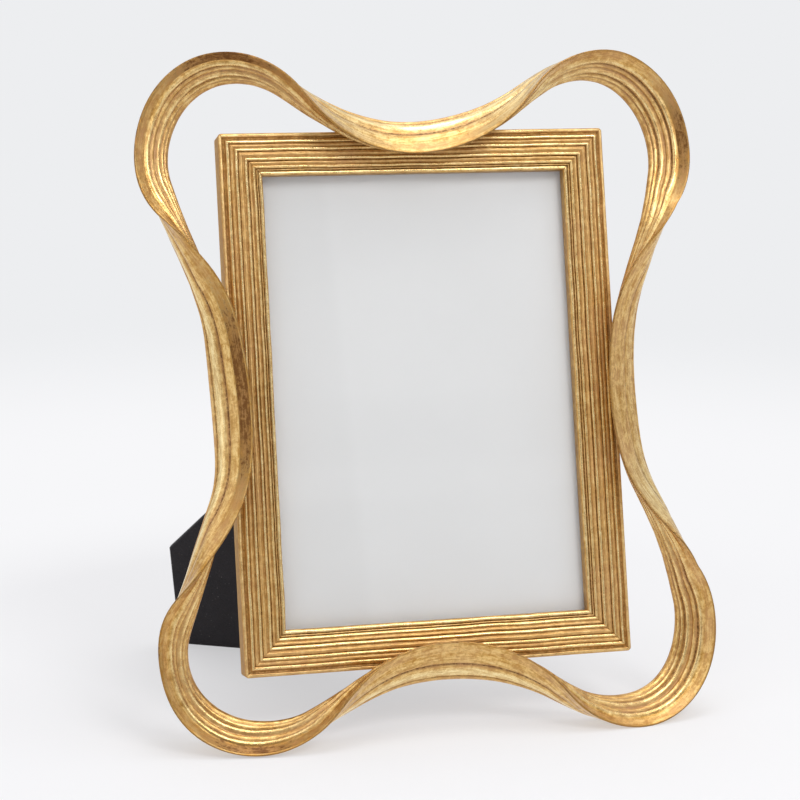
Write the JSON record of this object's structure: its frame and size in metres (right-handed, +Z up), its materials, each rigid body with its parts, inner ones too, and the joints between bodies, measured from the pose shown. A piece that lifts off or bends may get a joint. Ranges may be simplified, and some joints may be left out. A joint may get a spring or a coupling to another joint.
{
  "type": "tabletop photo frame",
  "caption": "Tabletop photo frame: reeded gilt moulding inside a wavy twisted ribbon surround, glazed, leaning back on a hinged black easel leg.",
  "frame": {"origin": "on the surface that the frame stands on, under the middle of its overall box", "axes": "+Z up, -Y the side that the picture faces, +X to the right of a person facing the picture"},
  "size_m": [0.2228, 0.1486, 0.2565],
  "materials": {
    "gilt_moulding": "antiqued gold leaf over cast resin, satin, worn dark in the grooves",
    "gilt_ribbon": "antiqued gold leaf over cast resin, satin, mottled",
    "glass": "clear picture glass",
    "paper": "smooth blank paper sheet",
    "card": "grey-brown card",
    "black_board": "fibreboard covered in matte black flocked paper",
    "steel": "zinc plated, dull",
    "brass": "brass plated steel, satin",
    "rivet_brass": "brass, satin"
  },
  "bodies": {
    "frame": {"top_rail": "gilt_moulding", "bottom_rail": "gilt_moulding", "left_rail": "gilt_moulding", "right_rail": "gilt_moulding", "corner_v_nails": "steel", "ribbon_surround": "gilt_ribbon", "glass_pane": "glass", "photo_insert": "paper", "filler_card": "card", "back_board": "black_board", "turn_button_screws": "steel", "hinge_board_leaf": "steel", "hinge_pin": "steel", "board_rivets": "rivet_brass"},
    "leg": {"easel_leg": "black_board", "hinge_leg_leaf": "steel", "leg_rivets": "rivet_brass"},
    "button_top": {"turn_button_top": "brass"},
    "button_bottom": {"turn_button_bottom": "brass"},
    "button_left": {"turn_button_left": "brass"},
    "button_right": {"turn_button_right": "brass"}
  },
  "joints": [
    {"name": "leg_fold", "type": "hinge", "parent": "frame", "child": "leg", "pos_m": [0.017, -0.0148, 0.12519], "axis": [-0.7071, 0.1747, 0.6852], "range_deg": [0, 39.6]},
    {"name": "button_top_swivel", "type": "hinge", "parent": "frame", "child": "button_top", "pos_m": [0, 0.0057, 0.21573], "axis": [0, 0.969, -0.247], "continuous": true},
    {"name": "button_bottom_swivel", "type": "hinge", "parent": "frame", "child": "button_bottom", "pos_m": [0, -0.04163, 0.03007], "axis": [0, 0.969, -0.247], "continuous": true},
    {"name": "button_left_swivel", "type": "hinge", "parent": "frame", "child": "button_left", "pos_m": [-0.0693, -0.01796, 0.1229], "axis": [0, 0.969, -0.247], "continuous": true},
    {"name": "button_right_swivel", "type": "hinge", "parent": "frame", "child": "button_right", "pos_m": [0.0693, -0.01796, 0.1229], "axis": [0, 0.969, -0.247], "continuous": true}
  ]
}
